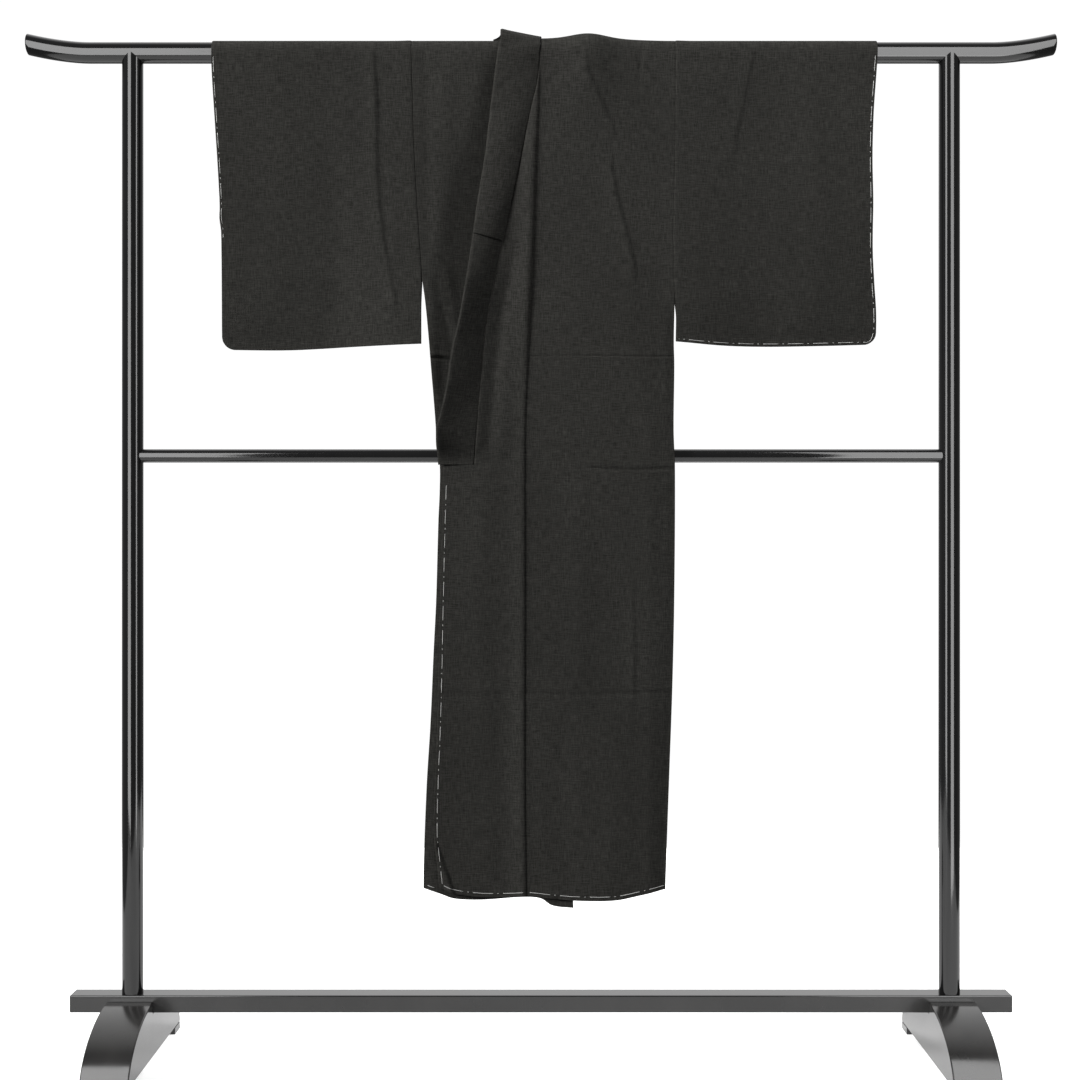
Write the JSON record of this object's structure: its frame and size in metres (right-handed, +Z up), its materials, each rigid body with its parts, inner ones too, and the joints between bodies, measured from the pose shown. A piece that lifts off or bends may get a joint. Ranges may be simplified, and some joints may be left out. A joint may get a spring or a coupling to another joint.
{
  "type": "kimono on a kimono rack",
  "caption": "Dark plain-weave man's kimono, wrapped left over right as worn, hanging by its sleeves on the top bar of a free-standing black lacquered rack with arched feet.",
  "frame": {"origin": "on the floor, below the middle of the top bar", "axes": "+X to the wearer's left, along the bars; -Y is the front of the garment; +Z up"},
  "size_m": [1.744, 0.3536, 1.7538],
  "materials": {
    "kimono_cloth": "matte slubby plain weave, charcoal black, with faint paler crosswise slubs",
    "rack_lacquer": "high-gloss black lacquer"
  },
  "bodies": {
    "root": {"body_left": "kimono_cloth", "body_right": "kimono_cloth", "sleeve_left": "kimono_cloth", "sleeve_right": "kimono_cloth", "okumi_left": "kimono_cloth", "okumi_right": "kimono_cloth", "collar_left": "kimono_cloth", "collar_right": "kimono_cloth", "over_collar": "kimono_cloth", "top_bar": "rack_lacquer", "post_left": "rack_lacquer", "post_right": "rack_lacquer", "lower_bar": "rack_lacquer", "base_beam": "rack_lacquer", "foot_left": "rack_lacquer", "foot_right": "rack_lacquer", "pad_left_front": "rack_lacquer", "pad_left_back": "rack_lacquer", "pad_right_front": "rack_lacquer", "pad_right_back": "rack_lacquer"}
  },
  "joints": []
}
